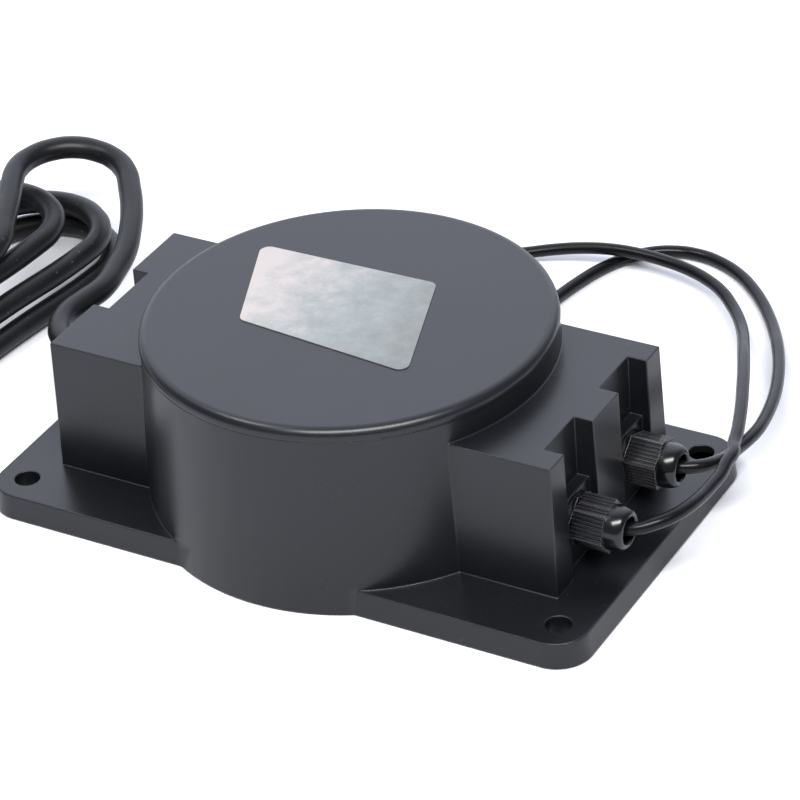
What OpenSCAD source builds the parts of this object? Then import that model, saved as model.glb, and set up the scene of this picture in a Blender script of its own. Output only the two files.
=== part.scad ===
// Potted pool light transformer: a moulded housing with a round drum, two side
// blocks and a flat flange, filled with resin round a ring core. One mains lead
// enters on the left through a gland, and two output leads leave on the right.
// Frame: X along the flange towards the output leads, Y to the back, Z up, with
// the origin on the underside at the centre of the four mounting holes.

/* [Drum] */
// Radius of the drum at its rim
drum_rim_r = 65; // [62:0.5:70]
// Radius of the drum wall where it meets the floor
drum_base_r = 67.6; // [66:0.2:72]
// Height of the drum
drum_h = 65; // [60:0.5:75]
// Height of the plain band above the parting line
rim_h = 4.2; // [3.5:0.1:6]
// Rounding of the rim's top edge
rim_round = 3; // [1:0.25:3.25]
// How far the rim stands out over the wall below it
rim_lip = 0.4; // [0.2:0.1:1]

/* [Flange] */
// Length of the flange at its top face
flange_l = 209.4; // [204:0.2:230]
// Width of the flange at its top face
flange_w = 118.2; // [112:0.2:124]
// Thickness of the flange
flange_h = 8.4; // [7:0.1:11]
// How far the flange's foot stands out all round
flange_draft = 1; // [0.2:0.1:2]
// Radius of the flange's corners
flange_corner_r = 10.5; // [8:0.5:13]

/* [Side blocks] */
// Distance from a block's end to the flange's end, both at their top
block_setback = 16.8; // [15:0.1:18]
// Width of a block at its top
blocks_w = 72.8; // [70:0.2:78]
// Height of the blocks above the floor
blocks_h = 53.5; // [50:0.5:57]
// How far a block's foot stands out at its end
block_draft_x = 1; // [0.2:0.1:2]
// How far a block's foot stands out at its sides
block_draft_y = 1.6; // [0.2:0.1:3]

/* [Walls] */
// Wall thickness of the moulding
wall = 2.8; // [2:0.1:3.2]
// Depth of the resin face inside the foot of the housing
resin_recess = 0.6; // [0.3:0.1:1]

/* [Mounting holes] */
// Distance from each hole to the flange's end
hole_from_end = 10; // [9:0.1:12]
// Distance from each hole to the flange's side
hole_from_side = 10.2; // [9:0.1:12]
// Diameter of each hole
hole_d = 8; // [5:0.1:9]
// Wall of the tube round each hole
hole_wall = 2.6; // [2:0.1:3]

/* [Gland recesses] */
// Distance between the two output glands
out_pitch = 35.8; // [34:0.2:38]
// Height of all gland axes
gland_z = 24.3; // [23:0.1:26]
// Width of each output recess
out_slot_w = 18.9; // [18.4:0.1:20]
// Depth of each output recess above its ledge
out_slot_deep = 6.4; // [5.5:0.1:7]
// Depth of each output recess at the gland
out_slot_shallow = 2.4; // [2:0.1:3]
// Height of the ledge in the output recesses
ledge_z = 33; // [32.9:0.1:36]
// Width of the mains recess
mains_slot_w = 22.7; // [22.4:0.1:24]
// Depth of the mains recess
mains_slot_deep = 5.8; // [5:0.1:6.5]

/* [Output glands] */
// Width across the flats of the nut and collar
out_flats = 15; // [14.6:0.1:15.4]
// Radius of the outer thread
out_thread_r = 6.1; // [6:0.05:6.2]
// Length of the nut over hexagon and dome
out_nut_l = 15.9; // [15.5:0.1:17]
// Length of the nut's hexagon
out_hex_l = 10.3; // [9.5:0.1:10.8]
// Radius of the nut's mouth
out_mouth_r = 4.25; // [4.1:0.05:4.4]
// Diameter of each output lead
lead_d = 4.2; // [3.8:0.1:4.4]

/* [Mains gland] */
// Width across the flats of the nut and collar
mains_flats = 19; // [18.6:0.1:19.3]
// Radius of the outer thread
mains_thread_r = 7.6; // [7.5:0.05:7.7]
// Length of the nut over hexagon and dome
mains_nut_l = 16.3; // [16:0.1:17.5]
// Length of the nut's hexagon
mains_hex_l = 10.4; // [9.8:0.1:11]
// Radius of the nut's mouth
mains_mouth_r = 5.1; // [4.9:0.05:5.3]
// Diameter of the mains lead
mains_d = 8; // [7.4:0.1:8.2]

/* [All glands] */
// Thickness of the collar that bears on the wall
collar_t = 1.3; // [1:0.1:1.6]
// Thickness of the flat seal under the collar
gasket_t = 0.6; // [0.4:0.1:1]
// Length of the boss that each output gland screws into
boss_l = 7; // [5:0.1:7.8]
// Wall of that boss round the thread
boss_wall = 2.2; // [1.6:0.1:2.4]
// Thickness of the mains gland's lock nut
locknut_t = 4; // [3:0.1:5]
// Ribs on each face of a nut
ribs_per_face = 7; // [5:1:12]
// Depth of the grooves between the ribs
rib_depth = 0.4; // [0.2:0.05:0.45]
// How far each body reaches inside the wall
body_tail = 8; // [7:0.1:10]

/* [Ring core and windings] */
// Gap between the finished ring and the drum's wall
ring_gap = 7.8; // [6:0.1:10]
// Inner diameter of the steel core
core_id = 50; // [46:0.5:54]
// Height of the steel core
core_h = 29; // [25:0.5:30]
// Thickness of the wrap round the bare core
core_wrap_t = 0.8; // [0.5:0.1:1.2]
// Build of the primary winding
primary_t = 3.2; // [2.5:0.1:3.6]
// Thickness of the barrier between the windings
barrier_t = 0.6; // [0.4:0.1:1]
// Build of the secondary winding
secondary_t = 2.8; // [2:0.1:3.2]
// Thickness of the outer wrap
outer_wrap_t = 0.6; // [0.4:0.1:1]
// Thickness of the pad between the windings and the top
pad_t = 3; // [2:0.1:4]

/* [Label] */
// Length of the label along its long edges
label_l = 62.3; // [50:0.1:66]
// Height of the label across its long edges
label_w = 43.9; // [36:0.1:48]
// How far the label's lower edge is set over
label_skew = 15.8; // [0:0.2:16]
// How much the label widens at each corner of its right end
label_flare = 1.6; // [0:0.1:2]
// Place of the label's middle along X
label_x = -6.2; // [-10:0.2:0]
// Place of the label's middle along Y
label_y = 2.8; // [0:0.2:6]
// Turn of the label about Z
label_turn = -2.3; // [-10:0.1:10]
// Thickness of the label
label_t = 0.3; // [0.15:0.05:0.5]
// Radius of the label's corners
label_corner_r = 3; // [1:0.25:4]

/* [Hidden] */

// Smoothness of round parts, and of the quarter arcs in turned outlines
$fn = 96;
arc_steps = 6;
// Overrun of every cut, and the running gap between mating round parts
over = 1;
fit = 0.1;

// Derived sizes and places of the housing
blocks_l = flange_l - 2 * block_setback;
hole_pitch_x = flange_l - 2 * hole_from_end;
hole_pitch_y = flange_w - 2 * hole_from_side;
rim_z = drum_h - rim_h;
wall_top_r = drum_rim_r - rim_lip;
out_face_x = blocks_l / 2 - out_slot_shallow;
mains_face_x = blocks_l / 2 - mains_slot_deep;
hole_tube_r = hole_d / 2 + hole_wall;
out_hole_r = out_thread_r + fit;
boss_r = out_hole_r + boss_wall;
mains_hole_r = mains_thread_r + fit;
tail_in = body_tail + 2;
slot_top = blocks_h - ledge_z;

// Derived places along a gland, counted outwards from the wall's outer face
nut_gap = 0.2;
nut_from = gasket_t + collar_t + nut_gap;
seal_nose = 0.6;
seal_fit = 0.25;

// Turn of each nut about its own axis, in degrees
front_nut_turn = -21.5;
rear_nut_turn = 9;
mains_nut_turn = 12;
collar_turn = 40;

// Wires inside the housing
wire_r = 1.2;
wire_gap = 4.4;
fuse_r = 2.1;
fuse_l = 9;
crimp_r = 1.7;
crimp_l = 5;
wire_free = 3;
splice_r = 3.1;
splice_l = 13;
splice_hold = 5;

// Derived sizes of the ring core and what is wound on it
wrap_1 = core_wrap_t;
wrap_2 = wrap_1 + primary_t;
wrap_3 = wrap_2 + barrier_t;
wrap_4 = wrap_3 + secondary_t;
wrap_5 = wrap_4 + outer_wrap_t;
ring_out_r = min(
    wall_top_r - wall - ring_gap,
    mains_face_x - wall - tail_in - fuse_l - 2 * wire_free
);
core_od = 2 * (ring_out_r - wrap_5);
ring_top_z = drum_h - wall - pad_t;
core_top_z = ring_top_z - wrap_5;
core_mid_z = core_top_z - core_h / 2;
ring_in_r = core_id / 2 - wrap_5;
pad_out_r = core_od / 2;
pad_in_r = core_id / 2;

// Places of the wires along X
splice_from = ring_out_r + wire_free;
wire_end_x = sqrt(pow(ring_out_r, 2) - pow(out_pitch / 2, 2));
mains_tail_end_x = -mains_face_x + wall + tail_in;

// Turned outlines: points of a quarter circle from angle a to b
function arc(cx, cy, r, a, b) =
    [for (i = [0 : arc_steps]) let (t = a + (b - a) * i / arc_steps) [cx + r * cos(t), cy + r * sin(t)]];

// Points of a quarter oval that starts level and ends upright
function oval_arc(cx, cy, rx, ry) =
    [for (i = [0 : arc_steps]) let (t = 90 * i / arc_steps) [cx + rx * cos(t), cy + ry * sin(t)]];

// Vectors along a route
function unit(v) = v / norm(v);
function along(p, i) =
    unit(p[min(i + 1, len(p) - 1)] - p[max(i - 1, 0)]);

// One ring of a swept tube, square to the route at point i
function ring(p, i, r, n, up) =
    let (t = along(p, i), s = unit(cross(up, t)), u = cross(t, s))
    [for (k = [0 : n - 1]) let (a = 360 * (k + 0.5) / n) p[i] + r * (cos(a) * s + sin(a) * u)];

// A round tube swept along the route p, closed at both ends
module tube(p, r, n, up = [0, 0, 1]) {
    m = len(p);
    points = [for (i = [0 : m - 1]) each ring(p, i, r, n, up)];
    sides = [
        for (i = [0 : m - 2], k = [0 : n - 1]) let (
            a = i * n + k,
            b = i * n + (k + 1) % n,
            c = b + n,
            d = a + n
        ) each [[a, b, c], [a, c, d]]
    ];
    first_cap = [for (k = [1 : n - 2]) [0, k + 1, k]];
    last_cap = [for (k = [1 : n - 2]) [(m - 1) * n, (m - 1) * n + k, (m - 1) * n + k + 1]];
    polyhedron(points = points, faces = concat(sides, first_cap, last_cap), convexity = 10);
}

// Least distance between points of a route that lie far apart along it
function least_gap(p, d, skip) =
    min([for (i = [0 : len(p) - 1], j = [0 : len(p) - 1]) if (j > i + skip) norm(p[i] - p[j])]) - d;

// A route with each stretch cut in four, for measuring gaps
function finer(p) =
    [for (i = [0 : len(p) - 2], q = [0 : 3]) p[i] + (p[i + 1] - p[i]) * q / 4];

// A box whose four walls lean outwards towards the floor
module leaning_box(l, w, z0, z1, lean_x, lean_y) {
    intersection() {
        rotate([90, 0, 0])
            linear_extrude(height = w + 2 * lean_y + 2 * over, center = true)
                polygon([[-l / 2 - lean_x, z0], [l / 2 + lean_x, z0], [l / 2, z1], [-l / 2, z1]]);
        rotate([90, 0, 90])
            linear_extrude(height = l + 2 * lean_x + 2 * over, center = true)
                polygon([[-w / 2 - lean_y, z0], [w / 2 + lean_y, z0], [w / 2, z1], [-w / 2, z1]]);
    }
}

// The flange plate with its rounded corners, made smaller all round by inset
module flange_plate(inset, z0, z1) {
    l = flange_l - 2 * inset;
    w = flange_w - 2 * inset;
    r = flange_corner_r - inset;
    leaning_box(l - 2 * r, w, z0, z1, 0, flange_draft);
    leaning_box(l, w - 2 * r, z0, z1, flange_draft, 0);
    for (x = [-1, 1], y = [-1, 1])
        translate([x * (l / 2 - r), y * (w / 2 - r), z0])
            cylinder(h = z1 - z0, r1 = r + flange_draft, r2 = r);
}

// The drum's outside, turned about Z
module drum_outside() {
    rotate_extrude()
        polygon(concat(
            [[0, 0], [drum_base_r, 0], [wall_top_r, rim_z], [drum_rim_r, rim_z]],
            arc(drum_rim_r - rim_round, drum_h - rim_round, rim_round, 0, 90),
            [[0, drum_h]]
        ));
}

// Recesses in the ends of both blocks, each with room for a gland nut
module recesses() {
    for (y = [-1, 1]) {
        translate([out_face_x, y * out_pitch / 2 - out_slot_w / 2, flange_h])
            cube([blocks_l, out_slot_w, blocks_h]);
        translate([blocks_l / 2 - out_slot_deep, y * out_pitch / 2 - out_slot_w / 2, ledge_z])
            cube([blocks_l, out_slot_w, slot_top + over]);
    }
    translate([-mains_face_x - blocks_l, -mains_slot_w / 2, flange_h])
        cube([blocks_l, mains_slot_w, blocks_h]);
}

// What the recesses take from the inside, a wall thicker all round
module recess_walls() {
    for (y = [-1, 1]) {
        translate([out_face_x - wall, y * out_pitch / 2 - out_slot_w / 2 - wall, flange_h - wall])
            cube([blocks_l, out_slot_w + 2 * wall, blocks_h]);
        translate([
            blocks_l / 2 - out_slot_deep - wall,
            y * out_pitch / 2 - out_slot_w / 2 - wall,
            ledge_z - wall
        ])
            cube([blocks_l, out_slot_w + 2 * wall, slot_top + wall + over]);
    }
    translate([-mains_face_x - blocks_l + wall, -mains_slot_w / 2 - wall, flange_h - wall])
        cube([blocks_l, mains_slot_w + 2 * wall, blocks_h]);
}

// Places something at each mounting hole
module at_holes() {
    for (x = [-1, 1], y = [-1, 1])
        translate([x * hole_pitch_x / 2, y * hole_pitch_y / 2, 0])
            children();
}

// The hollow of the housing, with the hole tubes and the gland bosses left standing
module hollow() {
    difference() {
        union() {
            cylinder(h = drum_h - wall, r1 = drum_base_r - wall, r2 = wall_top_r - wall);
            leaning_box(
                blocks_l - 2 * wall, blocks_w - 2 * wall, 0, blocks_h - wall,
                block_draft_x, block_draft_y
            );
            flange_plate(wall, 0, flange_h - wall);
        }
        recess_walls();
        at_holes() translate([0, 0, -over]) cylinder(h = flange_h, r = hole_tube_r);
        for (s = [-1, 1]) at_output(s) translate([0, 0, -wall - boss_l]) cylinder(h = boss_l + wall, r = boss_r);
    }
}

// Sets a gland's parts on the wall: local Z runs outwards from the wall's face
module at_output(side) {
    translate([out_face_x, side * out_pitch / 2, gland_z]) rotate([0, 90, 0]) rotate([0, 0, 90]) children();
}

module at_mains() {
    translate([-mains_face_x, 0, gland_z]) rotate([0, -90, 0]) rotate([0, 0, 90]) children();
}

// Outline of a hexagon whose faces carry grooves between straight ribs
function ribbed_hexagon(flats) =
    let (side = flats / sqrt(3), pitch = side / ribs_per_face)
    [
        for (f = [0 : 5], i = [0 : ribs_per_face - 1])
            let (a = 60 * f, n = [cos(a), sin(a)], t = [-sin(a), cos(a)], s = -side / 2 + i * pitch)
            each [
                n * flats / 2 + t * (s + pitch * 0.2),
                n * flats / 2 + t * (s + pitch * 0.6),
                n * (flats / 2 - rib_depth) + t * (s + pitch * 0.7),
                n * (flats / 2 - rib_depth) + t * (s + pitch * 0.95)
            ]
    ];

// Flat seal between a gland's collar and the wall
module gland_gasket(flats, thread_r) {
    difference() {
        cylinder(h = gasket_t, r = flats / 2);
        translate([0, 0, -over]) cylinder(h = gasket_t + 2 * over, r = thread_r + fit);
    }
}

// Gland body: threaded tail, hexagon collar, outer thread and clamping fingers
module gland_body(flats, thread_r, nut_l) {
    finger_from = gasket_t + collar_t + nut_l * 0.52;
    finger_to = gasket_t + collar_t + nut_l * 0.66;
    tail_end = -wall - body_tail;
    bore_r = thread_r * 0.72;
    finger_r = thread_r * 0.82;
    finger_gap = thread_r * 0.22;
    difference() {
        union() {
            rotate_extrude()
                polygon([
                    [bore_r, tail_end], [thread_r, tail_end], [thread_r, finger_from],
                    [finger_r, finger_from], [finger_r, finger_to], [bore_r, finger_to]
                ]);
            difference() {
                translate([0, 0, gasket_t])
                    rotate([0, 0, collar_turn]) cylinder(h = collar_t, r = flats / sqrt(3), $fn = 6);
                cylinder(h = gasket_t + collar_t + over, r = (bore_r + thread_r) / 2);
            }
        }
        for (a = [0, 90])
            rotate([0, 0, a])
                translate([-thread_r, -finger_gap / 2, finger_from + finger_gap / 4])
                    cube([2 * thread_r, finger_gap, finger_to]);
    }
}

// Lock nut on the inside of the wall
module lock_nut(flats, thread_r) {
    translate([0, 0, -wall - locknut_t])
        difference() {
            cylinder(h = locknut_t, r = flats / sqrt(3), $fn = 6);
            translate([0, 0, -over]) cylinder(h = locknut_t + 2 * over, r = thread_r + fit / 2);
        }
}

// Rubber seal that the fingers close on the cable
module gland_seal(thread_r, mouth_r, nut_l, cable_d) {
    seal_from = gasket_t + collar_t + nut_l * 0.3;
    seal_to = nut_from + nut_l * 0.66;
    seal_r = thread_r * 0.72 - fit;
    difference() {
        union() {
            translate([0, 0, seal_from]) cylinder(h = seal_to - seal_from, r = seal_r);
            translate([0, 0, seal_to - over]) cylinder(h = over + seal_nose, r = mouth_r - 3 * fit);
        }
        translate([0, 0, seal_from - over])
            cylinder(h = seal_to - seal_from + seal_nose + 2 * over, r = cable_d / 2 + seal_fit);
    }
}

// Dome nut: ribbed hexagon that ends in a smooth dome with a round mouth
module dome_nut(flats, thread_r, nut_l, hex_l, mouth_r, turn) {
    dome_r = flats / 2 - rib_depth;
    dome_l = (nut_l - hex_l) * 0.8;
    lip_r = (nut_l - hex_l) * 0.12;
    throat = nut_l * 0.8;
    thread_l = nut_l * 0.56;
    translate([0, 0, nut_from])
        difference() {
            union() {
                rotate([0, 0, turn]) linear_extrude(height = hex_l) polygon(ribbed_hexagon(flats));
                rotate_extrude()
                    polygon(concat(
                        [[0, 0], [dome_r, 0]],
                        oval_arc(mouth_r + lip_r, nut_l - dome_l, dome_r - mouth_r - lip_r, dome_l),
                        arc(mouth_r + lip_r, nut_l - lip_r, lip_r, 105, 180),
                        [[mouth_r, hex_l], [0, hex_l]]
                    ));
            }
            rotate_extrude()
                polygon([
                    [0, -over], [thread_r + fit, -over], [thread_r + fit, thread_l],
                    [mouth_r + fit, throat], [mouth_r, throat], [mouth_r, nut_l + over], [0, nut_l + over]
                ]);
        }
}

// Ring of rectangular section round the core, grown by g on every side
module core_ring(g) {
    rotate_extrude()
        translate([core_id / 2 - g, core_mid_z - core_h / 2 - g])
            square([(core_od - core_id) / 2 + 2 * g, core_h + 2 * g]);
}

// A layer round the core, from growth a to growth b
module layer(a, b) {
    difference() {
        core_ring(b);
        core_ring(a);
    }
}

// Height of the mains lead's middle where it lies on the floor
mains_floor_z = mains_d / 2 + 0.05;

// A route from its gland at the given place: steps away from the wall, and heights
// as shares of the way up from the lowest place to the gland's axis
function laid(from, way, height_shares, low_z) =
    [
        for (i = [0 : len(way) - 1])
            [from[0] + way[i][0], from[1] + way[i][1], low_z + (gland_z - low_z) * height_shares[i]]
    ];

// Mains lead from its gland, round the first loop and down to the hank's start
mains_way = [
    [-12.4, 0], [-15.9, 0], [-19.9, 0], [-25.1, 0.7], [-29.9, 2.7], [-34, 5.9], [-37.2, 10], [-39.2, 14.8], [-39.9, 20],
    [-39.1, 26.9], [-37.8, 36.6], [-39.8, 47.4], [-42.8, 58.6], [-47.7, 69.4], [-54.1, 80.6], [-61, 90.3], [-68.5, 99], [-75.6, 102.6],
    [-82.5, 103.1], [-89.2, 101.2], [-95.8, 95.9], [-99.9, 87.3], [-99.7, 78.7], [-96.3, 70.7], [-90.8, 60.5], [-85.3, 49.1], [-80.6, 39.4],
    [-80, 28], [-82, 18.8], [-84.5, 7], [-91.6, -3.9], [-100.5, -14.4], [-110.1, -24.9], [-119, -35.5], [-126.2, -46.4], [-130.2, -57.9],
    [-132, -67.7]
];
mains_height_shares = [
    1, 1, 1, 1, 1, 1, 1, 1, 1, 1, 1, 1.0099,
    1.0395, 1.0889, 1.1432, 1.2074, 1.2716, 1.3358, 1.3901, 1.4395, 1.4691, 1.479, 1.479, 1.4642,
    1.4247, 1.3753, 1.3259, 1.2864, 1.2716, 1.2667, 1.2272, 1.158, 1.079, 0.9951, 0.921, 0.8716,
    0.8543
];
mains_route = laid([-mains_face_x, 0], mains_way, mains_height_shares, mains_floor_z);

// Output lead of the front gland, over the other lead and down to its coil
front_way = [
    [12, 0], [14, 0], [15.8, 0.1], [18.3, 0.5], [21.5, 1.8], [23.8, 3.5], [26.2, 6.4], [28.3, 10.1], [29.7, 14.6],
    [30.4, 19.9], [30.5, 25.3], [30.5, 30.8], [30.4, 36.5], [29.6, 42.4], [28.9, 48.7], [26.3, 54.7], [24.1, 61.9], [21.2, 69.8],
    [17.7, 78.7], [13.3, 89], [7.9, 101.2], [2.1, 113.6], [-3.1, 124.5], [-7.9, 134], [-13.1, 142.5], [-19.1, 150.1], [-26.1, 156.8],
    [-34.1, 162], [-43, 165.5], [-52.6, 167.5], [-62.4, 168.2], [-72.2, 167.7], [-81.8, 166], [-91.6, 163.2], [-101.4, 159.3], [-111.1, 154.8],
    [-120.5, 149.7], [-130.1, 144.6], [-140.3, 139.5], [-151, 134.7], [-163.5, 131.9]
];
front_height_shares = [
    1, 1, 1.0045, 1.0225, 1.0541, 1.0811, 1.0946, 1.1036, 1.0991, 1.0766, 1.045, 1.0315,
    1.0225, 1.036, 1.018, 0.9631, 0.9373, 0.9057, 0.8642, 0.8068, 0.7265, 0.6065, 0.4441, 0.3215,
    0.2569, 0.2291, 0.2413, 0.2404, 0.2398, 0.2394, 0.2375, 0.2281, 0.1996, 0.1452, 0.0767, 0.0253,
    0.0072, 0.0028, 0.0022, 0.0022, 0.0022
];
front_route = laid([out_face_x, -out_pitch / 2], front_way, front_height_shares, lead_d / 2);

// Output lead of the rear gland, down to the floor and round to its coil
rear_way = [
    [12, 0], [14, 0], [14.9, 0], [17.6, 0.4], [20.1, 1.5], [22.3, 3.4], [24.1, 6.4], [25.1, 11.6], [24.6, 15.2],
    [24.3, 20.2], [24.2, 26.1], [24.5, 32.8], [24.3, 40], [23.1, 47.6], [21.2, 56.2], [18.5, 65.7], [14.5, 76.9], [9.4, 88.8],
    [4, 99.5], [-1.6, 109.4], [-7.5, 118.5], [-13.9, 126.9], [-21.1, 134.5], [-29.1, 141], [-38, 145.6], [-47.4, 147.6], [-56.5, 146.2],
    [-64.4, 141.5], [-70.4, 134.2], [-74.6, 125.4], [-77.3, 115.9], [-79.3, 106.1], [-80.8, 96.1], [-82.2, 86.1], [-83.7, 76.1]
];
rear_height_shares = [
    1, 1, 1, 1.0045, 1.0045, 0.991, 0.9595, 0.8874, 0.8063, 0.7297, 0.6712, 0.6306,
    0.585, 0.5334, 0.4768, 0.4146, 0.3434, 0.2668, 0.188, 0.1013, 0.0407, 0.0134, 0.0045, 0.0025,
    0.0022, 0.0022, 0.0022, 0.0022, 0.0022, 0.0022, 0.0022, 0.0022, 0.0022, 0.0022, 0.0022
];
rear_route = laid([out_face_x, out_pitch / 2], rear_way, rear_height_shares, lead_d / 2);

// Where the tails inside the glands meet the free leads
out_lead_start_x = front_route[0][0];
mains_lead_start_x = mains_route[0][0];

// Hank of the mains lead: three loops that lie one on the other
hank_d = mains_d;
hank_sides = 6;
hank_level_step = hank_d + 0.65;
hank_floor_z = mains_floor_z;
hank_right_w = [48, 46, 52];
hank_right_back_w = [31, 38.5, 42];
hank_left_back_w = [-17, -9.5, -7];
hank_left_w = [0, -3, 1, 11];
hank_back = [138, 158, 156];
hank_front = [0, 6, 3];
hank_loops = 3;
hank_fold_steps = 8;
hank_leg_steps = 4;
hank_end_u = -36;
hank_drop_share = 1.25;

// Direction and start of the hank, taken from the end of the mains route
hank_from = mains_route[len(mains_route) - 1];
hank_prev = mains_route[len(mains_route) - 2];
hank_u = unit([hank_from[0] - hank_prev[0], hank_from[1] - hank_prev[1], 0]);
hank_w = [-hank_u[1], hank_u[0], 0];
function hank_z(k) = hank_floor_z + (hank_loops - 1 - k) * hank_level_step;
function hank_at(u, w, z) = [hank_from[0], hank_from[1], 0] + u * hank_u + w * hank_w + [0, 0, z];
function smooth(t) = t * t * (3 - 2 * t);

// Half turn from width w0 to w1 at distance u, bulging to the side given by way
function hank_fold(u, w0, w1, z, way) =
    [
        for (i = [0 : hank_fold_steps - 1])
            let (a = 180 * i / hank_fold_steps, r = abs(w1 - w0) / 2, m = (w0 + w1) / 2)
            hank_at(u + way * r * sin(a), m + (w0 - m) * cos(a), z)
    ];

// Leg from u0 to u1, from width w0 to w1 and height z0 to z1
function hank_leg(u0, u1, w0, w1, z0, z1) =
    [
        for (i = [0 : hank_leg_steps - 1])
            let (t = i / hank_leg_steps)
            hank_at(
                u0 + (u1 - u0) * t, w0 + (w1 - w0) * smooth(t),
                z0 + (z1 - z0) * smooth(min(1, t * hank_drop_share))
            )
    ];

hank_route = concat(
    [hank_at(0, 0, hank_z(0))],
    [
        for (k = [0 : hank_loops - 1])
            let (
                front = hank_d + hank_front[k],
                back = front - hank_back[k],
                next = min(k + 1, hank_loops - 1),
                leg_to = k == hank_loops - 1 ? hank_end_u - hank_d : hank_d + hank_front[next]
            )
            each concat(
                hank_fold(front, hank_left_w[k], hank_right_w[k], hank_z(k), 1),
                hank_leg(front, back, hank_right_w[k], hank_right_back_w[k], hank_z(k), hank_z(k)),
                hank_fold(back, hank_right_back_w[k], hank_left_back_w[k], hank_z(k), -1),
                hank_leg(back, leg_to, hank_left_back_w[k], hank_left_w[k + 1], hank_z(k), hank_z(next))
            )
    ],
    [
        hank_at(hank_end_u - hank_d, hank_left_w[hank_loops], hank_floor_z),
        hank_at(hank_end_u, hank_left_w[hank_loops], hank_floor_z)
    ]
);
hank_end = hank_route[len(hank_route) - 1];

// Coil of an output lead: it winds in on the floor and out again on top
coil_r = 23.5;
coil_turns = 3.5;
coil_step = lead_d + 0.6;
coil_rings = 24;
coil_sides = 6;
coil_layer_z = lead_d + 0.6;

// Height over the floor layer, risen in the half turn where the winding turns back
function coil_rise(t) =
    let (half = 0.25 / coil_turns, s = (t - 0.5 + half) / (2 * half))
    coil_layer_z * smooth(max(0, min(1, s)));

// Points of a coil that starts at the end of route p; way is 1 to wind left, -1 right
function coil_route(p, way) =
    let (
        from = p[len(p) - 1],
        prev = p[len(p) - 2],
        dir = unit([from[0] - prev[0], from[1] - prev[1], 0]),
        side = way * [-dir[1], dir[0], 0],
        mid = from + lead_d * dir + coil_r * side,
        total = coil_turns * coil_rings,
        spiral = [
            for (i = [0 : total])
                let (
                    t = i / total,
                    a = 360 * coil_turns * t,
                    depth = coil_turns * coil_step * min(t, 1 - t),
                    r = coil_r - depth
                )
                mid + r * (sin(a) * dir - cos(a) * side) + [0, 0, coil_rise(t)]
        ],
        last = spiral[total],
        out = unit(cos(360 * coil_turns) * dir + sin(360 * coil_turns) * side)
    )
    concat([from], spiral, [last + lead_d * out]);

front_coil = coil_route(front_route, 1);
rear_coil = coil_route(rear_route, -1);
echo(hank_gap = least_gap(finer(hank_route), hank_d, 4 * hank_leg_steps));
echo(coil_gap = least_gap(finer(front_coil), lead_d, coil_rings / 2));

// Bare ends beyond the coils and the hank
lead_strip_l = 8;
strand_r = 1.1;
core_end_l = 34;
core_end_gap = 3.4;
core_end_spread = 7;
ferrule_l = 10;
ferrule_r = 1;
ferrule_cap_l = 4;
ferrule_cap_r = 1.6;

function end_dir(p) = unit(p[len(p) - 1] - p[len(p) - 2]);
function run_on(p, l) = [p[len(p) - 1], p[len(p) - 1] + l * end_dir(p)];

// The two stripped cores at the far end of the mains lead, side y of -1 or 1
function end_core(y) =
    [
        for (t = [0, 0.25, 0.5, 0.75, 1])
            hank_end + core_end_l * t * hank_u
            + y * (core_end_gap / 2 + (core_end_spread - core_end_gap) / 2 * smooth(t)) * hank_w
            + [0, 0, -(hank_floor_z - ferrule_cap_r - fit) * smooth(t)]
    ];

module along_x(from, r, l) {
    translate(from) rotate([0, 90, 0]) cylinder(h = l, r = r);
}

module along_hank(from, r, l) {
    translate(from) rotate([0, 90, atan2(hank_u[1], hank_u[0])]) cylinder(h = l, r = r);
}

// Housing: one moulding of drum, blocks, flange and hole tubes, open underneath
module housing() {
    color("#3a3c41")
        difference() {
            union() {
                drum_outside();
                leaning_box(blocks_l, blocks_w, 0, blocks_h, block_draft_x, block_draft_y);
                flange_plate(0, 0, flange_h);
            }
            recesses();
            hollow();
            translate([0, 0, -over]) hollow_foot();
            at_holes() translate([0, 0, -over]) cylinder(h = flange_h + 2 * over, r = hole_d / 2);
            for (s = [-1, 1])
                at_output(s)
                    translate([0, 0, -wall - boss_l - over])
                        cylinder(h = wall + boss_l + 2 * over, r = out_hole_r);
            at_mains() translate([0, 0, -wall - over]) cylinder(h = wall + 2 * over, r = mains_hole_r);
        }
}

// Opens the hollow through the foot of the housing
module hollow_foot() {
    difference() {
        union() {
            cylinder(h = over, r = drum_base_r - wall);
            translate([0, 0, over / 2]) cube([
                flange_l - 2 * wall + 2 * flange_draft - 2 * flange_corner_r,
                flange_w - 2 * wall + 2 * flange_draft,
                over
            ], center = true);
            translate([0, 0, over / 2]) cube([
                flange_l - 2 * wall + 2 * flange_draft,
                flange_w - 2 * wall + 2 * flange_draft - 2 * flange_corner_r,
                over
            ], center = true);
        }
        at_holes() translate([0, 0, -over]) cylinder(h = 3 * over, r = hole_tube_r);
    }
}

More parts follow.
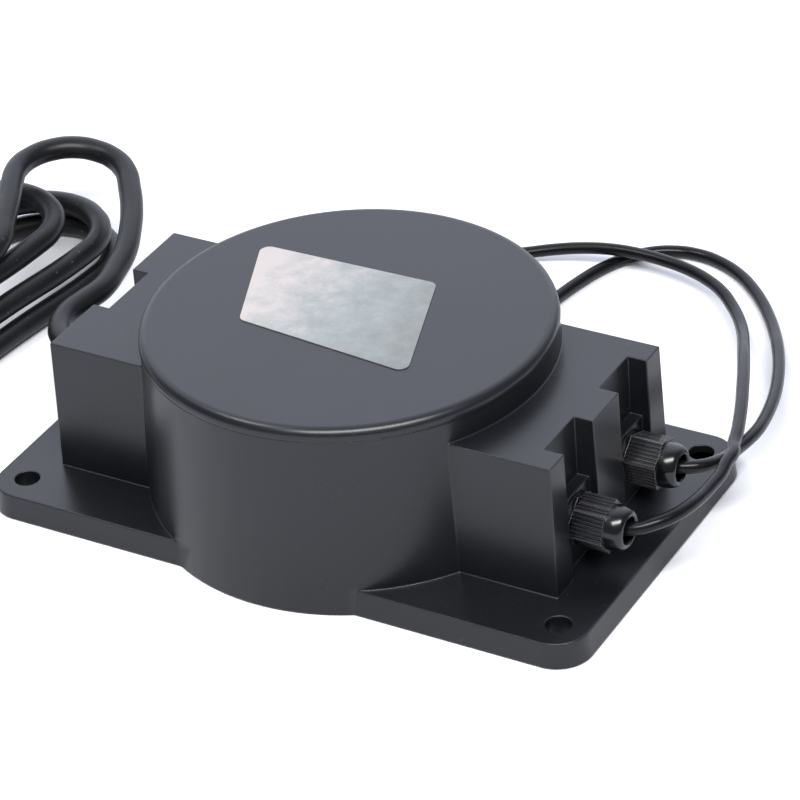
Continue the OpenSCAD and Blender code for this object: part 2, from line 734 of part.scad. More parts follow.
// Potting resin: fills the hollow round everything inside
module potting_resin() {
    color("#26282b")
        difference() {
            hollow();
            translate([0, 0, resin_recess / 2 - over / 2])
                cube([2 * flange_l, 2 * flange_w, resin_recess + over], center = true);
            core_ring(wrap_5);
            top_pad_solid();
            for (s = [-1, 1]) {
                at_output(s) translate([0, 0, -wall - body_tail]) cylinder(h = wall + body_tail, r = out_thread_r);
                along_x([splice_from, s * out_pitch / 2, gland_z], splice_r, splice_l);
                along_x([wire_end_x - over, s * out_pitch / 2, gland_z], wire_r, splice_l);
                along_x([splice_from + splice_hold, s * out_pitch / 2, gland_z], lead_d / 2, out_face_x - splice_from);
            }
            at_mains() {
                translate([0, 0, -wall - body_tail]) cylinder(h = wall + body_tail, r = mains_thread_r);
                translate([0, 0, -wall - locknut_t])
                    cylinder(h = locknut_t + over, r = mains_flats / sqrt(3), $fn = 6);
            }
            along_x([-mains_face_x, 0, gland_z], mains_d / 2, wall + tail_in);
            for (y = [-1, 1])
                along_x([mains_tail_end_x - over, y * wire_gap / 2, gland_z], wire_r, -mains_tail_end_x - core_od / 2);
            fuse_solid();
            crimp_solid();
        }
}

// Label stuck on the drum, left bare
module rating_label() {
    r = label_corner_r;
    half_l = label_l / 2 - r;
    half_w = label_w / 2 - r;
    color("#b4b6bd")
        translate([label_x, label_y, drum_h])
            rotate([0, 0, label_turn])
                linear_extrude(height = label_t)
                    offset(r = r)
                        polygon([
                            [-half_l - label_skew / 2, half_w - label_flare],
                            [half_l - label_skew / 2, half_w + label_flare],
                            [half_l + label_skew / 2, -half_w - label_flare],
                            [-half_l + label_skew / 2, -half_w + label_flare]
                        ]);
}

module ring_core() { color("#8d9196") core_ring(0); }
module core_wrap() { color("#d8d2b8") layer(0, wrap_1); }
module primary_winding() { color("#b4602f") layer(wrap_1, wrap_2); }
module winding_barrier() { color("#e3c75a") layer(wrap_2, wrap_3); }
module secondary_winding() { color("#c0713a") layer(wrap_3, wrap_4); }
module outer_wrap() { color("#d9bd4f") layer(wrap_4, wrap_5); }

module top_pad_solid() {
    translate([0, 0, ring_top_z])
        difference() {
            cylinder(h = pad_t, r = pad_out_r);
            translate([0, 0, -over]) cylinder(h = pad_t + 2 * over, r = pad_in_r);
        }
}

module top_pad() { color("#4d4f52") top_pad_solid(); }

module fuse_solid() {
    along_x([-ring_out_r - wire_free - fuse_l, wire_gap / 2, gland_z], fuse_r, fuse_l);
}

module crimp_solid() {
    along_x([-ring_out_r - wire_free - crimp_l, -wire_gap / 2, gland_z], crimp_r, crimp_l);
}

// A core of the mains lead from the end of its sheath to the given place
module mains_core(y, to_x) {
    along_x([mains_tail_end_x, y * wire_gap / 2, gland_z], wire_r, to_x - mains_tail_end_x);
}

module thermal_fuse() { color("#e8e4da") fuse_solid(); }
module live_core() { color("#7a4a2a") mains_core(1, -ring_out_r - wire_free - fuse_l); }
module neutral_core() { color("#2c5fa8") mains_core(-1, -ring_out_r - wire_free - crimp_l); }
module neutral_crimp() { color("#b9bcc2") crimp_solid(); }

// Ends of the primary winding, one from the fuse and one from the crimp
module primary_ends() {
    color("#b86b35")
        for (y = [-1, 1])
            difference() {
                along_x([-ring_out_r - wire_free, y * wire_gap / 2, gland_z], wire_r, wire_free + over);
                core_ring(wrap_5);
            }
}

// Insulated crimp sleeves that join the secondary to the output leads
module output_splices() {
    color("#c23a34")
        for (s = [-1, 1])
            difference() {
                along_x([splice_from, s * out_pitch / 2, gland_z], splice_r, splice_l);
                along_x([splice_from - over, s * out_pitch / 2, gland_z], wire_r, splice_hold + over);
                along_x(
                    [splice_from + splice_hold, s * out_pitch / 2, gland_z],
                    lead_d / 2, splice_l
                );
            }
}

module secondary_ends() {
    color("#c0713a")
        for (s = [-1, 1])
            difference() {
                along_x(
                    [wire_end_x - over, s * out_pitch / 2, gland_z],
                    wire_r, splice_from + splice_hold - wire_end_x + over
                );
                core_ring(wrap_5);
            }
}

module mains_tail() {
    color("#1d1e20")
        along_x([mains_lead_start_x, 0, gland_z], mains_d / 2, mains_tail_end_x - mains_lead_start_x);
}

module output_tail(side) {
    from = splice_from + splice_hold;
    color("#232427")
        along_x([from, side * out_pitch / 2, gland_z], lead_d / 2, out_lead_start_x - from);
}

module output_tail_front() { output_tail(-1); }
module output_tail_rear() { output_tail(1); }

module mains_gland_gasket() { color("#2b2b2d") at_mains() gland_gasket(mains_flats, mains_thread_r); }
module mains_gland_body() { color("#2a2c30") at_mains() gland_body(mains_flats, mains_thread_r, mains_nut_l); }
module mains_lock_nut() { color("#303236") at_mains() lock_nut(mains_flats, mains_thread_r); }
module mains_gland_seal() {
    color("#18191b") at_mains() gland_seal(mains_thread_r, mains_mouth_r, mains_nut_l, mains_d);
}
module mains_dome_nut() {
    color("#2f3136")
        at_mains()
            dome_nut(mains_flats, mains_thread_r, mains_nut_l, mains_hex_l, mains_mouth_r, mains_nut_turn);
}

module out_gasket(side) { color("#2b2b2d") at_output(side) gland_gasket(out_flats, out_thread_r); }
module out_body(side) { color("#2a2c30") at_output(side) gland_body(out_flats, out_thread_r, out_nut_l); }
module out_seal(side) {
    color("#18191b") at_output(side) gland_seal(out_thread_r, out_mouth_r, out_nut_l, lead_d);
}
module out_nut(side, turn) {
    color("#2f3136")
        at_output(side) dome_nut(out_flats, out_thread_r, out_nut_l, out_hex_l, out_mouth_r, turn);
}

module front_gland_gasket() { out_gasket(-1); }
module front_gland_body() { out_body(-1); }
module front_gland_seal() { out_seal(-1); }
module front_dome_nut() { out_nut(-1, front_nut_turn); }
module rear_gland_gasket() { out_gasket(1); }
module rear_gland_body() { out_body(1); }
module rear_gland_seal() { out_seal(1); }
module rear_dome_nut() { out_nut(1, rear_nut_turn); }

module mains_lead() { color("#1d1e20") tube(mains_route, mains_d / 2, 10); }
module mains_hank() { color("#1d1e20") tube(hank_route, hank_d / 2, hank_sides); }

module mains_end_cores() {
    color("#6b4a33") {
        tube(end_core(-1), wire_r, 8);
        tube(end_core(1), wire_r, 8);
    }
}

// Crimped ferrules on the two cores, each with a plastic collar
module mains_end_ferrules() {
    color("#c9ccd1")
        for (y = [-1, 1])
            let (p = end_core(y), q = p[len(p) - 1]) {
                along_hank(q, ferrule_cap_r, ferrule_cap_l);
                along_hank(q, ferrule_r, ferrule_cap_l + ferrule_l);
            }
}

module front_lead() { color("#232427") tube(front_route, lead_d / 2, 8); }
module front_lead_coil() { color("#232427") tube(front_coil, lead_d / 2, coil_sides); }
module front_lead_end() { color("#c9a27a") tube(run_on(front_coil, lead_strip_l), strand_r, 8); }
module rear_lead() { color("#232427") tube(rear_route, lead_d / 2, 8); }
module rear_lead_coil() { color("#232427") tube(rear_coil, lead_d / 2, coil_sides); }
module rear_lead_end() { color("#c9a27a") tube(run_on(rear_coil, lead_strip_l), strand_r, 8); }

housing();
potting_resin();
rating_label();
ring_core();
core_wrap();
primary_winding();
winding_barrier();
secondary_winding();
outer_wrap();
top_pad();
thermal_fuse();
live_core();
neutral_core();
neutral_crimp();
primary_ends();
output_splices();
secondary_ends();
mains_tail();
output_tail_front();
output_tail_rear();
mains_gland_gasket();
mains_gland_body();
mains_lock_nut();
mains_gland_seal();
mains_dome_nut();
front_gland_gasket();
front_gland_body();
front_gland_seal();
front_dome_nut();
rear_gland_gasket();
rear_gland_body();
rear_gland_seal();
rear_dome_nut();
mains_lead();
mains_hank();
mains_end_cores();
mains_end_ferrules();
front_lead();
front_lead_coil();
front_lead_end();
rear_lead();
rear_lead_coil();
rear_lead_end();
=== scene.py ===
import math

import bmesh
import bpy
from mathutils import Matrix, Vector, geometry


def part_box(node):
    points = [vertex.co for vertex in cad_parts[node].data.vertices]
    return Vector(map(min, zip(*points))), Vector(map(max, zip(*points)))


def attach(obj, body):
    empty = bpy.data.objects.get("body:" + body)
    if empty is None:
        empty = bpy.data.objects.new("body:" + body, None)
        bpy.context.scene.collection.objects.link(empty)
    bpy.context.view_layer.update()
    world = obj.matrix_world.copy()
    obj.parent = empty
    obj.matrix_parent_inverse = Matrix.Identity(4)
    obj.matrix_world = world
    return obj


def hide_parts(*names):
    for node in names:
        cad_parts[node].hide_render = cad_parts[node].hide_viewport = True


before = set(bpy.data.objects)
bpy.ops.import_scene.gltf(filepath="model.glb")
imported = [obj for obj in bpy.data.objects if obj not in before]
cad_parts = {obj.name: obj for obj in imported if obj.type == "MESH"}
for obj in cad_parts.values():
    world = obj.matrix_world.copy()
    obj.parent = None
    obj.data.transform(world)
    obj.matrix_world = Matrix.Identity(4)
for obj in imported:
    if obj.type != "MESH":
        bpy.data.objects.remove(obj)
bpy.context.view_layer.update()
MM = 0.001

# Camera
# The photograph looks down on the near right corner from the front, with a
# long lens and the camera rolled a little to the left. Its place and reach
# are in metres, its angles in degrees.
CAMERA_AT = (0.52362, -0.81333, 0.66411)
CAMERA_TURN = 31.97
CAMERA_TILT = 33.18
CAMERA_ROLL = -4.82
CAMERA_LENS = 166.9
CAMERA_SENSOR = 36
CAMERA_REACH = 20

turn, tilt, roll = (math.radians(a) for a in (CAMERA_TURN, CAMERA_TILT, CAMERA_ROLL))
towards_camera = Vector((math.sin(turn) * math.cos(tilt), -math.cos(turn) * math.cos(tilt), math.sin(tilt)))
level_right = Vector((math.cos(turn), math.sin(turn), 0))
level_up = towards_camera.cross(level_right)
camera_right = math.cos(roll) * level_right + math.sin(roll) * level_up
camera_up = -math.sin(roll) * level_right + math.cos(roll) * level_up
camera = bpy.data.objects.new("studio_camera", bpy.data.cameras.new("studio_camera"))
camera.data.lens = CAMERA_LENS
camera.data.sensor_width = CAMERA_SENSOR
camera.data.clip_end = CAMERA_REACH
camera.matrix_world = Matrix((
    (camera_right.x, camera_up.x, towards_camera.x, CAMERA_AT[0]),
    (camera_right.y, camera_up.y, towards_camera.y, CAMERA_AT[1]),
    (camera_right.z, camera_up.z, towards_camera.z, CAMERA_AT[2]),
    (0, 0, 0, 1),
))
bpy.context.scene.collection.objects.link(camera)
bpy.context.scene.camera = camera

# Cords
# Three free cords leave the glands: a round two-core mains lead in matt
# rubber on the left, and two thinner satin PVC leads on the right. Each is
# one curve through the route that its solid follows, in millimetres.
MAINS_D = 8
LEAD_D = 4.2
REST = 0.05

MAINS_ROUTE = [
    (-94.5, 0, 24.3), (-98, 0, 24.3), (-102, 0, 24.3), (-107.2, 0.7, 24.3),
    (-112, 2.7, 24.3), (-116.1, 5.9, 24.3), (-119.3, 10, 24.3), (-121.3, 14.8, 24.3),
    (-122, 20, 24.3), (-121.2, 26.9, 24.3), (-119.9, 36.6, 24.3), (-121.9, 47.4, 24.5),
    (-124.9, 58.6, 25.1), (-129.8, 69.4, 26.1), (-136.2, 80.6, 27.2), (-143.1, 90.3, 28.5),
    (-150.6, 99, 29.8), (-157.7, 102.6, 31.1), (-164.6, 103.1, 32.2), (-171.3, 101.2, 33.2),
    (-177.9, 95.9, 33.8), (-182, 87.3, 34), (-181.8, 78.7, 34), (-178.4, 70.7, 33.7),
    (-172.9, 60.5, 32.9), (-167.4, 49.1, 31.9), (-162.7, 39.4, 30.9), (-162.1, 28, 30.1),
    (-164.1, 18.8, 29.8), (-166.6, 7, 29.7), (-173.7, -3.9, 28.9), (-182.6, -14.4, 27.5),
    (-192.2, -24.9, 25.9), (-201.1, -35.5, 24.2), (-208.3, -46.4, 22.7), (-212.3, -57.9, 21.7),
    (-214.1, -67.7, 21.35),
]
FRONT_ROUTE = [
    (97.5, -17.9, 24.3), (99.5, -17.9, 24.3), (101.3, -17.8, 24.4), (103.8, -17.4, 24.8),
    (107, -16.1, 25.5), (109.3, -14.4, 26.1), (111.7, -11.5, 26.4), (113.8, -7.8, 26.6),
    (115.2, -3.3, 26.5), (115.9, 2, 26), (116, 7.4, 25.3), (116, 12.9, 25),
    (115.9, 18.6, 24.8), (115.1, 24.5, 25.1), (114.4, 30.8, 24.7), (111.8, 36.8, 23.5),
    (109.6, 44, 22.9), (106.7, 51.9, 22.2), (103.2, 60.8, 21.3), (98.8, 71.1, 20),
    (93.4, 83.3, 18.2), (87.6, 95.7, 15.6), (82.4, 106.6, 12), (77.6, 116.1, 9.2),
    (72.4, 124.6, 7.8), (66.4, 132.2, 7.2), (59.4, 138.9, 7.5), (51.4, 144.1, 7.4),
    (42.5, 147.6, 7.4), (32.9, 149.6, 7.4), (23.1, 150.3, 7.4), (13.3, 149.8, 7.2),
    (3.7, 148.1, 6.5), (-6.1, 145.3, 5.3), (-15.9, 141.4, 3.8), (-25.6, 136.9, 2.7),
    (-35, 131.8, 2.3), (-44.6, 126.7, 2.2), (-54.8, 121.6, 2.15), (-65.5, 116.8, 2.15),
    (-78, 114, 2.15),
]
REAR_ROUTE = [
    (97.5, 17.9, 24.3), (99.5, 17.9, 24.3), (100.4, 17.9, 24.3), (103.1, 18.3, 24.4),
    (105.6, 19.4, 24.4), (107.8, 21.3, 24.1), (109.6, 24.3, 23.4), (110.6, 29.5, 21.8),
    (110.1, 33.1, 20), (109.8, 38.1, 18.3), (109.7, 44, 17), (110, 50.7, 16.1),
    (109.8, 57.9, 15.1), (108.6, 65.5, 13.9), (106.7, 74.1, 12.7), (104, 83.6, 11.3),
    (100, 94.8, 9.7), (94.9, 106.7, 8), (89.5, 117.4, 6.3), (83.9, 127.3, 4.3),
    (78, 136.4, 3), (71.6, 144.8, 2.4), (64.4, 152.4, 2.2), (56.4, 158.9, 2.2),
    (47.5, 163.5, 2.15), (38.1, 165.5, 2.15), (29, 164.1, 2.15), (21.1, 159.4, 2.15),
    (15.1, 152.1, 2.15), (10.9, 143.3, 2.15), (8.2, 133.8, 2.15), (6.2, 124, 2.15),
    (4.7, 114, 2.15), (3.3, 104, 2.15), (1.8, 94, 2.15),
]


def smooth(t):
    """Eases from 0 to 1, level at both ends."""
    return t * t * (3 - 2 * t)


def heading(route):
    """Level direction in which a route ends."""
    step = Vector(route[-1]) - Vector(route[-2])
    return Vector((step.x, step.y, 0)).normalized()


# The hank of the mains lead is three loops laid flat, one on the other. Its
# places lie along and across the way that the lead comes in. Each list gives
# the loops their own values, from the top one down: how far across their
# right and left runs lie, where they turn in front, and how long they are.
# HANK_LEFT ends with the lead's last run, which stops at HANK_END. A run that
# sinks to the loop below is down at its length divided by HANK_DROP.
HANK_LOOPS = 3
HANK_GAP = 0.65
HANK_STEP = MAINS_D + HANK_GAP
HANK_FLOOR = MAINS_D / 2 + REST
HANK_RIGHT = (48, 46, 52)
HANK_RIGHT_BACK = (31, 38.5, 42)
HANK_LEFT_BACK = (-17, -9.5, -7)
HANK_LEFT = (0, -3, 1, 11)
HANK_FRONT = (0, 6, 3)
HANK_BACK = (138, 158, 156)
HANK_END = -36
HANK_DROP = 1.25
HANK_FOLD_STEPS = 8
HANK_LEG_STEPS = 4
hank_along = heading(MAINS_ROUTE)
hank_across = Vector((-hank_along.y, hank_along.x, 0))
hank_start = Vector((MAINS_ROUTE[-1][0], MAINS_ROUTE[-1][1], 0))


def hank_at(u, w, z):
    """The place u along the hank, w across it and z above the floor."""
    return hank_start + u * hank_along + w * hank_across + Vector((0, 0, z))


def hank_level(k):
    """Height of loop k's own line."""
    return HANK_FLOOR + (HANK_LOOPS - 1 - k) * HANK_STEP


def hank_fold(u, w_in, w_out, way, k):
    """Half a turn of loop k; way is 1 at the front, -1 at the back."""
    middle, half = (w_in + w_out) / 2, abs(w_out - w_in) / 2
    for i in range(HANK_FOLD_STEPS):
        a = math.pi * i / HANK_FOLD_STEPS
        yield hank_at(u + way * half * math.sin(a), middle + (w_in - middle) * math.cos(a), hank_level(k))


def hank_leg(u0, u1, w0, w1, k, below):
    """A run of loop k, which sinks to the loop below before its end."""
    for i in range(HANK_LEG_STEPS):
        t = i / HANK_LEG_STEPS
        drop = smooth(min(1, t * HANK_DROP)) * (hank_level(below) - hank_level(k))
        yield hank_at(u0 + (u1 - u0) * t, w0 + (w1 - w0) * smooth(t), hank_level(k) + drop)


hank_route = []
for k in range(HANK_LOOPS):
    last = k == HANK_LOOPS - 1
    below = k if last else k + 1
    front = MAINS_D + HANK_FRONT[k]
    back = front - HANK_BACK[k]
    leg_to = HANK_END - MAINS_D if last else MAINS_D + HANK_FRONT[below]
    hank_route += [
        *hank_fold(front, HANK_LEFT[k], HANK_RIGHT[k], 1, k),
        *hank_leg(front, back, HANK_RIGHT[k], HANK_RIGHT_BACK[k], k, k),
        *hank_fold(back, HANK_RIGHT_BACK[k], HANK_LEFT_BACK[k], -1, k),
        *hank_leg(back, leg_to, HANK_LEFT_BACK[k], HANK_LEFT[k + 1], k, below),
    ]
for u in (HANK_END - MAINS_D, HANK_END):
    hank_route.append(hank_at(u, HANK_LEFT[-1], HANK_FLOOR))

# Each output lead ends in a coil that winds in on the floor, rises within
# COIL_RISE of a turn either side of its middle, and winds out again on top.
COIL_R = 23.5
COIL_TURNS = 3.5
COIL_GAP = 0.6
COIL_STEP = LEAD_D + COIL_GAP
COIL_RISE = 0.25
COIL_POINTS = 24


def coil_middle(route, way):
    """Middle of the coil that starts where a lead's route ends."""
    ahead = heading(route)
    return Vector(route[-1]) + LEAD_D * ahead + COIL_R * way * Vector((-ahead.y, ahead.x, 0))


def coil_route(route, way):
    """Points of a lead's coil; way is 1 to wind left, -1 to wind right."""
    ahead = heading(route)
    side = way * Vector((-ahead.y, ahead.x, 0))
    middle = coil_middle(route, way)
    total = int(COIL_TURNS * COIL_POINTS)
    half = COIL_RISE / COIL_TURNS
    points = []
    for i in range(total + 1):
        t = i / total
        a = 2 * math.pi * COIL_TURNS * t
        r = COIL_R - COIL_TURNS * COIL_STEP * min(t, 1 - t)
        rise = COIL_STEP * smooth(max(0, min(1, (t - 0.5 + half) / (2 * half))))
        points.append(middle + r * (math.sin(a) * ahead - math.cos(a) * side) + Vector((0, 0, rise)))
    a = 2 * math.pi * COIL_TURNS
    points.append(points[-1] + LEAD_D * (math.cos(a) * ahead + math.sin(a) * side))
    return points


# How finely a cord is cut round its section, and between two points of its
# route
CORD_ROUNDNESS = 5
CORD_STEPS = 6


def lay_cord(name, points, diameter):
    """A round cord as one smooth open curve through points in millimetres."""
    line = bpy.data.curves.new(name, "CURVE")
    line.dimensions = "3D"
    line.bevel_depth = diameter / 2 * MM
    line.bevel_resolution = CORD_ROUNDNESS
    line.resolution_u = CORD_STEPS
    line.use_fill_caps = True
    spline = line.splines.new("BEZIER")
    spline.bezier_points.add(len(points) - 1)
    for knot, p in zip(spline.bezier_points, points):
        knot.co = Vector(p) * MM
        knot.handle_left_type = knot.handle_right_type = "AUTO"
    cord = bpy.data.objects.new(name, line)
    bpy.context.scene.collection.objects.link(cord)
    return cord


def hex_colour(code):
    """A linear colour from an sRGB hex value."""
    parts = [int(code[i:i + 2], 16) / 255 for i in (1, 3, 5)]
    return (*((c / 12.92 if c <= 0.04045 else ((c + 0.055) / 1.055) ** 2.4) for c in parts), 1)


def add(tree, kind, settings=(), links=()):
    """Adds a node, sets its values and links its inputs."""
    node = tree.nodes.new(kind)
    for key, value in dict(settings).items():
        if isinstance(key, str) and hasattr(node, key) and key not in node.inputs:
            setattr(node, key, value)
        else:
            node.inputs[key].default_value = value
    for key, socket in dict(links).items():
        tree.links.new(socket, node.inputs[key])
    return node


# What all finishes share: the noise levels between which a colour goes from
# dark to light, the softness of a speck's edge, and the strength of relief
MOTTLE_LOW = 0.3
MOTTLE_HIGH = 0.7
SPECK_SOFT = 0.06
RELIEF = 0.6

# Edge wear and a painted highlight start where the rounded normal leaves the flat one, given as
# cosines, and need an edge that lies open, as far as some widths of the edge
EDGE_TINT_FROM = 0.985
EDGE_TINT_FULL = 0.85
OPEN_FROM = 0.55
OPEN_FULL = 0.9
OPEN_WIDTHS = 4
EDGE_SAMPLES = 6


def dusted(tree, place, colour, tint, speck_mm, sparse):
    """Scatters specks of a tint over a colour, the fewer the higher sparse is."""
    cells = add(tree, "ShaderNodeTexNoise", {"Scale": 1 / (speck_mm * MM), "Detail": 1.0}, {"Vector": place})
    share = add(tree, "ShaderNodeMapRange", {"From Min": sparse, "From Max": sparse + SPECK_SOFT},
                {"Value": cells.outputs["Fac"]})
    mixed = add(tree, "ShaderNodeMix", {"data_type": "RGBA", 7: hex_colour(tint)},
                {0: share.outputs["Result"], 6: colour})
    return mixed.outputs[2]


def worn_and_highlit(tree, relief, colour, edge_mm, tint):
    """Rounds edges over edge_mm under the relief, and tints those that lie open: wear, with a painted
    highlight.
    """
    bevelled = add(tree, "ShaderNodeBevel", {"samples": EDGE_SAMPLES, "Radius": edge_mm * MM})
    rounded = bevelled.outputs["Normal"]
    flat = add(tree, "ShaderNodeNewGeometry").outputs["True Normal"]
    bent = add(tree, "ShaderNodeVectorMath", {"operation": "DOT_PRODUCT"}, {0: rounded, 1: flat})
    edge = add(tree, "ShaderNodeMapRange", {"From Min": EDGE_TINT_FROM, "From Max": EDGE_TINT_FULL},
               {"Value": bent.outputs["Value"]})
    open_around = add(tree, "ShaderNodeAmbientOcclusion",
                  {"samples": EDGE_SAMPLES, "Distance": OPEN_WIDTHS * edge_mm * MM})
    crest = add(tree, "ShaderNodeMapRange", {"From Min": OPEN_FROM, "From Max": OPEN_FULL},
                {"Value": open_around.outputs["AO"]})
    share = add(tree, "ShaderNodeMath", {"operation": "MULTIPLY"},
                {0: edge.outputs["Result"], 1: crest.outputs["Result"]})
    # Open edges take the tint, as wear and as a painted highlight
    mixed = add(tree, "ShaderNodeMix", {"data_type": "RGBA", 7: hex_colour(tint)},
                {0: share.outputs["Value"], 6: colour})
    tree.links.new(rounded, relief.inputs["Normal"])
    return mixed.outputs[2]


def finish_of(name, dark, light, rough, grain_mm, mottle_mm, bump_mm, metal=0.0, spread=0.06,
              ior=1.5, level=0.5, specks=None, streak=(1, 1, 1), edge_mm=0, edge_wear_and_highlight="#2c2d32"):
    """A surface whose colour and gloss drift over mottle_mm, drawn out by streak, with a fine grain in
    relief of bump_mm. dark and light are sRGB hex values, spread is how far the roughness drifts, and
    specks are a colour, a size in millimetres and how sparse they are. Edges are rounded over edge_mm
    and tinted where they lie open to the edge_wear_and_highlight colour: wear, and a painted highlight."""
    material = bpy.data.materials.new(name)
    material.use_nodes = True
    tree = material.node_tree
    shader = tree.nodes["Principled BSDF"]
    shader.inputs["Metallic"].default_value = metal
    shader.inputs["IOR"].default_value = ior
    shader.inputs["Specular IOR Level"].default_value = level
    place = add(tree, "ShaderNodeTexCoord").outputs["Object"]
    drawn = add(tree, "ShaderNodeMapping", {"Scale": streak}, {"Vector": place}).outputs["Vector"]
    mottle = add(tree, "ShaderNodeTexNoise", {"Scale": 1 / (mottle_mm * MM), "Detail": 4.0},
                 {"Vector": drawn})
    grain = add(tree, "ShaderNodeTexNoise", {"Scale": 1 / (grain_mm * MM), "Detail": 3.0},
                {"Vector": place})
    ramp = add(tree, "ShaderNodeValToRGB", links={"Fac": mottle.outputs["Fac"]})
    for stop, at, code in zip(ramp.color_ramp.elements, (MOTTLE_LOW, MOTTLE_HIGH), (dark, light)):
        stop.position = at
        stop.color = hex_colour(code)
    gloss = add(tree, "ShaderNodeMapRange", {"To Min": rough - spread, "To Max": rough + spread},
                {"Value": mottle.outputs["Fac"]})
    relief = add(tree, "ShaderNodeBump", {"Distance": bump_mm * MM, "Strength": RELIEF},
                 {"Height": grain.outputs["Fac"]})
    colour = ramp.outputs["Color"]
    if specks:
        colour = dusted(tree, place, colour, *specks)
    if edge_mm:
        colour = worn_and_highlit(tree, relief, colour, edge_mm, edge_wear_and_highlight)
    tree.links.new(colour, shader.inputs["Base Color"])
    tree.links.new(gloss.outputs["Result"], shader.inputs["Roughness"])
    tree.links.new(relief.outputs["Normal"], shader.inputs["Normal"])
    return material


def dress(node, material):
    """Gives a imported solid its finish."""
    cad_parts[node].data.materials.clear()
    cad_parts[node].data.materials.append(material)


# Extruded rubber: matt, soft and hardly glossy, greyed by handling, with a
# few chalky specks of packing dust
extruded_rubber = finish_of("extruded_rubber", "#0c0c0e", "#141416", rough=0.38, grain_mm=0.5,
                            mottle_mm=14, bump_mm=0.06, level=0.36, specks=("#4a4a4f", 1.1, 0.72))
# Extruded PVC: smoother than the rubber, with a satin sheen and a faint grain
extruded_pvc = finish_of("extruded_pvc", "#0a0a0c", "#101013", rough=0.28, grain_mm=0.8, mottle_mm=9,
                         bump_mm=0.02, level=0.27)

mains_points = [Vector(p) for p in MAINS_ROUTE] + hank_route[1:]
mains_cord = lay_cord("mains_cable", mains_points, MAINS_D)
mains_cord.data.materials.append(extruded_rubber)
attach(mains_cord, "transformer")
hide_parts("mains_lead", "mains_hank")

output_cords = {}
for side, route, way in (("front", FRONT_ROUTE, 1), ("rear", REAR_ROUTE, -1)):
    points = [Vector(p) for p in route] + coil_route(route, way)
    cord = lay_cord(side + "_output_cable", points, LEAD_D)
    cord.data.materials.append(extruded_pvc)
    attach(cord, "transformer")
    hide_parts(side + "_lead", side + "_lead_coil")
    output_cords[side] = (cord, points)

# Stripped cores
# The mains lead ends in its two stripped cores, each with a crimped tinned
# ferrule. The pair is one solid, so a plane along the lead parts its colours.
BROWN, LIGHT_BROWN = "#4a2b1b", "#5f3a26"
BLUE, MIDDLE_BLUE, LIGHT_BLUE = "#1f4f98", "#2459a6", "#2a62b4"

# Extruded core PVC, coloured through: an even satin, brown or blue
brown_pvc = finish_of("brown_core_pvc", BROWN, LIGHT_BROWN, rough=0.35, grain_mm=0.5, mottle_mm=5,
                      bump_mm=0.01)
blue_pvc = finish_of("blue_core_pvc", BLUE, LIGHT_BLUE, rough=0.35, grain_mm=0.5, mottle_mm=5,
                     bump_mm=0.01)
# The same PVC on the pair: brown on one side of the plane, blue on the other
paired_pvc = finish_of("brown_and_blue_core_pvc", BROWN, LIGHT_BROWN, rough=0.35, grain_mm=0.5,
                       mottle_mm=5, bump_mm=0.01)
tree = paired_pvc.node_tree
place = tree.nodes["Texture Coordinate"].outputs["Object"]
core_line = hank_at(0, HANK_LEFT[-1], 0).dot(hank_across) * MM
beside = add(tree, "ShaderNodeVectorMath", {"operation": "DOT_PRODUCT", 1: tuple(hank_across)}, {0: place})
is_blue = add(tree, "ShaderNodeMath", {"operation": "GREATER_THAN", 1: core_line},
              {0: beside.outputs["Value"]})
either = add(tree, "ShaderNodeMix", {"data_type": "RGBA", 7: hex_colour(MIDDLE_BLUE)},
             {0: is_blue.outputs["Value"], 6: tree.nodes["Color Ramp"].outputs["Color"]})
tree.links.new(either.outputs[2], tree.nodes["Principled BSDF"].inputs["Base Color"])
# Tinned copper sleeve: dull silver with a fine crimped grain
crimped_tin = finish_of("crimped_tin", "#b9bcc0", "#d8dadd", rough=0.3, grain_mm=0.4, mottle_mm=3,
                        bump_mm=0.02, metal=1.0)
dress("mains_end_cores", paired_pvc)
dress("mains_end_ferrules", crimped_tin)

# Bare strands
# Each output lead ends in bare tinned strands, stripped of their PVC and
# twisted together by hand. The outer strands are drawn, round a plain core
# that stands for the middle ones.
STRIP_L = 8
BUNDLE_R = 1.1
BUNDLE_SIDES = 16
STRANDS = 12
STRAND_LAY = 11
STRAND_R = BUNDLE_R * math.sin(math.pi / STRANDS) / (1 + math.sin(math.pi / STRANDS))
STRAND_STEPS = 24
STRAND_SIDES = 8
LAY_R = BUNDLE_R - STRAND_R

# Dull tin over copper strands: soft silver with a warm cast
tinned_strand = finish_of("tinned_strand", "#a79f93", "#d2cbc0", rough=0.4, grain_mm=0.4, mottle_mm=3,
                          bump_mm=0.05, metal=1.0)


